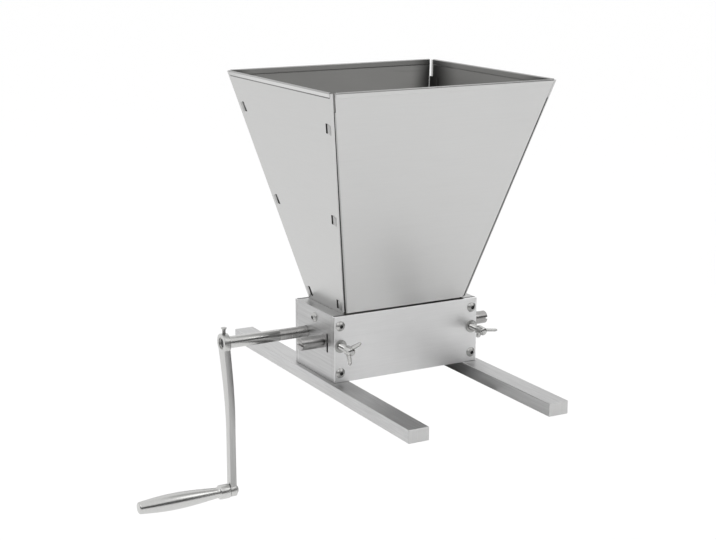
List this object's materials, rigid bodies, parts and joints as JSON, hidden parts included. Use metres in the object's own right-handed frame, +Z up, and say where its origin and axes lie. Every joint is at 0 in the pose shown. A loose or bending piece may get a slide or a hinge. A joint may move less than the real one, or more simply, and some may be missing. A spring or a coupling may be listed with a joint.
{
  "type": "malt mill",
  "caption": "Hand-cranked malt mill: tapered sheet-metal hopper over fluted rollers in a plate body on flat base bars, with gap adjusters locked by wing screws.",
  "frame": {"origin": "middle of the body, in the plane of the base bars' undersides", "axes": "+Z up; -Y towards the plate with the wing screws; -X towards the crank"},
  "size_m": [0.3595, 0.35, 0.3878],
  "materials": {
    "body_aluminium": "fine ground",
    "bar_aluminium": "brushed along its length",
    "hopper_sheet": "matt rolled stainless sheet",
    "screw_steel": "bright",
    "roller_steel": "fluted, oiled",
    "shaft_steel": "turned",
    "bush_bronze": "sintered",
    "polished_steel": "polished",
    "arm_steel": "satin",
    "grip_polished": "polished"
  },
  "bodies": {
    "frame": {"left_end_plate": "body_aluminium", "right_end_plate": "body_aluminium", "front_plate": "body_aluminium", "back_plate": "body_aluminium", "left_base_bar": "bar_aluminium", "right_base_bar": "bar_aluminium", "front_plate_screws": "screw_steel", "back_plate_screws": "screw_steel", "base_bar_screws": "screw_steel", "hopper_front_panel": "hopper_sheet", "hopper_back_panel": "hopper_sheet", "hopper_left_panel": "hopper_sheet", "hopper_right_panel": "hopper_sheet", "hopper_screws": "screw_steel", "hopper_nuts": "screw_steel", "left_drive_bush": "bush_bronze", "right_drive_bush": "bush_bronze", "wing_screw_washers": "screw_steel"},
    "drive": {"drive_roller": "roller_steel", "drive_shaft": "shaft_steel", "crank_sleeve": "polished_steel", "crank_arm": "arm_steel", "crank_clamp_screw": "screw_steel", "handle_spindle": "polished_steel", "spindle_clip": "screw_steel"},
    "grip": {"handle_grip": "grip_polished"},
    "left_adjuster": {"left_gap_adjuster": "shaft_steel"},
    "right_adjuster": {"right_gap_adjuster": "shaft_steel"},
    "idler": {"idler_roller": "roller_steel", "left_idler_bush": "bush_bronze", "right_idler_bush": "bush_bronze"},
    "left_wing": {"left_wing_screw": "screw_steel"},
    "right_wing": {"right_wing_screw": "screw_steel"}
  },
  "joints": [
    {"name": "crank_turn", "type": "hinge", "parent": "frame", "child": "drive", "pos_m": [0, 0.0167, 0.0475], "axis": [1, 0, 0], "continuous": true},
    {"name": "grip_spin", "type": "hinge", "parent": "drive", "child": "grip", "pos_m": [-0.2, 0.0167, -0.0955], "axis": [1, 0, 0], "continuous": true},
    {"name": "left_gap_turn", "type": "hinge", "parent": "frame", "child": "left_adjuster", "pos_m": [-0.07, -0.0167, 0.0464], "axis": [1, 0, 0], "range_deg": [-90, 90]},
    {"name": "right_gap_turn", "type": "hinge", "parent": "frame", "child": "right_adjuster", "pos_m": [0.07, -0.0167, 0.0464], "axis": [1, 0, 0], "range_deg": [-90, 90]},
    {"name": "idler_turn", "type": "hinge", "parent": "left_adjuster", "child": "idler", "pos_m": [0, -0.0167, 0.0475], "axis": [1, 0, 0], "continuous": true},
    {"name": "left_wing_turn", "type": "hinge", "parent": "frame", "child": "left_wing", "pos_m": [-0.07, -0.05, 0.0464], "axis": [0, -1, 0], "range_deg": [0, 360]},
    {"name": "right_wing_turn", "type": "hinge", "parent": "frame", "child": "right_wing", "pos_m": [0.07, -0.05, 0.0464], "axis": [0, -1, 0], "range_deg": [0, 360]}
  ],
  "couplings": [
    {"joint": "idler_turn", "follows": "crank_turn", "ratio": -1},
    {"joint": "right_gap_turn", "follows": "left_gap_turn", "ratio": 1}
  ]
}
